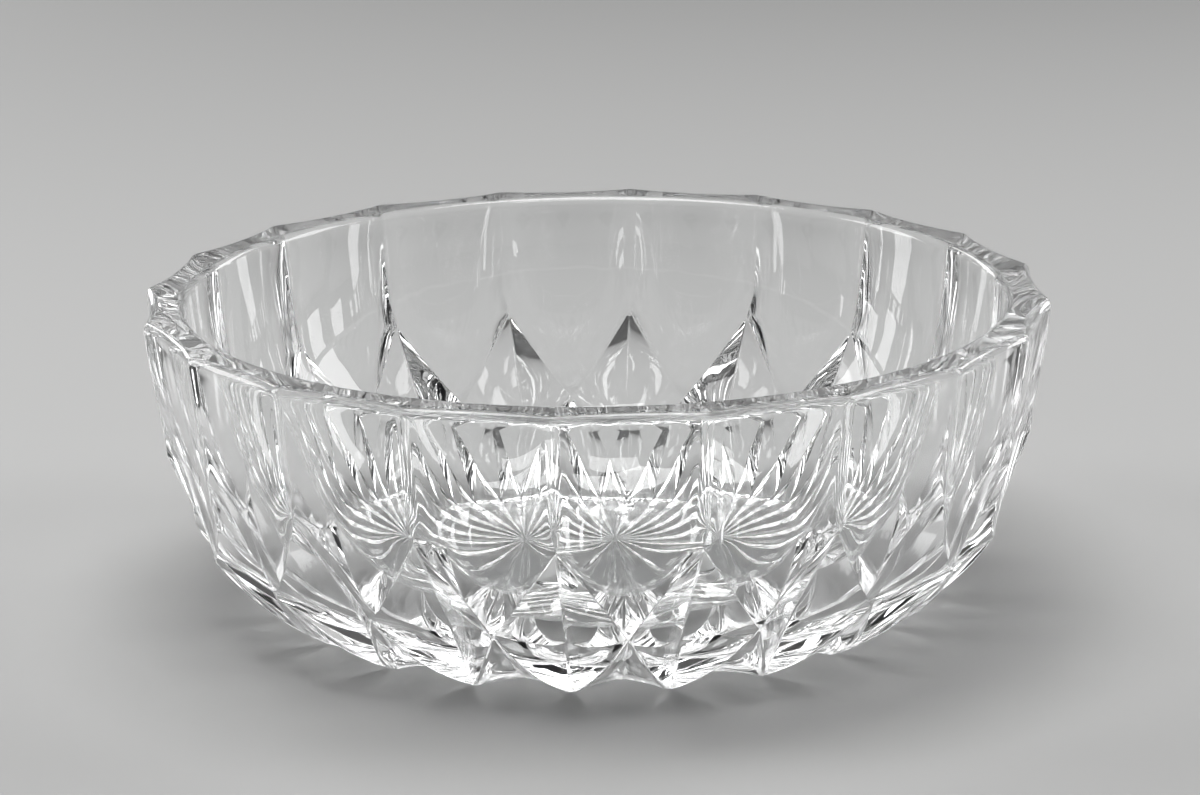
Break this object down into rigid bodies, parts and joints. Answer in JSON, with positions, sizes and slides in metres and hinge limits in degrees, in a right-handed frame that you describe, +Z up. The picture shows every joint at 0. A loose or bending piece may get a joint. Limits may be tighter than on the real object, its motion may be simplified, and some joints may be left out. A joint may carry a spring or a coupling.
{
  "type": "bowl",
  "caption": "Round clear crystal bowl with upright hollow flutes, a belt of kite-shaped cuts, arched foot panels and a star-cut base, for serving fruit or salad.",
  "frame": {"origin": "centre of the circle of foot points, on the surface the bowl stands on", "axes": "+Z up along the bowl's axis, out of its mouth; a ridge between two flutes lies on the +X side"},
  "size_m": [0.2316, 0.2316, 0.08],
  "materials": {
    "crystal": "polished"
  },
  "bodies": {
    "root": {"bowl": "crystal"}
  },
  "joints": []
}
